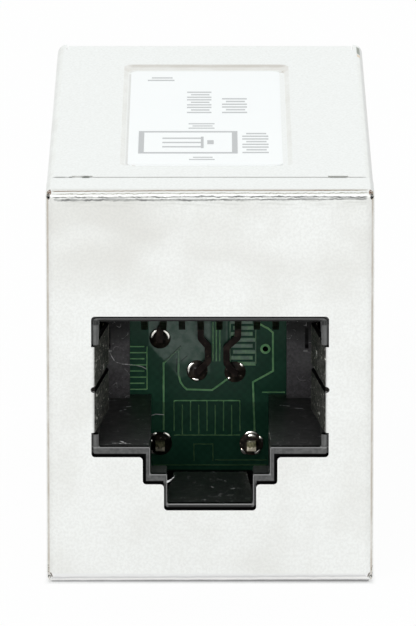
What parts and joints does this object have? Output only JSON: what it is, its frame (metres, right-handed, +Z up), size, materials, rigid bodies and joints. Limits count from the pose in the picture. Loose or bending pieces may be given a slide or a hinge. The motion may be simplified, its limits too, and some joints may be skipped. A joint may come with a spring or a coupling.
{
  "type": "ethernet coupler",
  "caption": "Shielded in-line coupler that joins two network cables, with a socket at each end of a folded metal shell and a label recess on top.",
  "frame": {"origin": "middle of the underside", "axes": "+X across the sockets, +Y from the front socket to the rear one, +Z up through the label side; plug latches face down"},
  "size_m": [0.0176, 0.0426, 0.0214],
  "materials": {
    "nickel_sheet": "satin nickel plate",
    "label_stock": "matt film",
    "black_moulding": "fine moulded",
    "carrier_moulding": "moulded",
    "contact_wire": "spring wire browned by flux",
    "tinned_pin": "tin plate",
    "board_laminate": "green solder mask",
    "solder": "bright solder"
  },
  "bodies": {
    "root": {"front_cap": "nickel_sheet", "shell_body": "nickel_sheet", "label": "label_stock", "front_housing": "black_moulding", "rear_housing": "black_moulding", "front_contact_carrier": "carrier_moulding", "rear_contact_carrier": "carrier_moulding", "board_spacer": "carrier_moulding", "front_board": "board_laminate", "rear_board": "board_laminate", "front_solder": "solder", "rear_solder": "solder", "front_contact_1": "contact_wire", "front_contact_2": "contact_wire", "front_contact_3": "contact_wire", "front_contact_4": "contact_wire", "front_contact_5": "contact_wire", "front_contact_6": "contact_wire", "front_contact_7": "contact_wire", "front_contact_8": "contact_wire", "rear_contact_1": "contact_wire", "rear_contact_2": "contact_wire", "rear_contact_3": "contact_wire", "rear_contact_4": "contact_wire", "rear_contact_5": "contact_wire", "rear_contact_6": "contact_wire", "rear_contact_7": "contact_wire", "rear_contact_8": "contact_wire", "link_pin_1": "tinned_pin", "link_pin_2": "tinned_pin", "link_pin_3": "tinned_pin", "link_pin_4": "tinned_pin", "link_pin_5": "tinned_pin", "link_pin_6": "tinned_pin", "link_pin_7": "tinned_pin", "link_pin_8": "tinned_pin"}
  },
  "joints": []
}
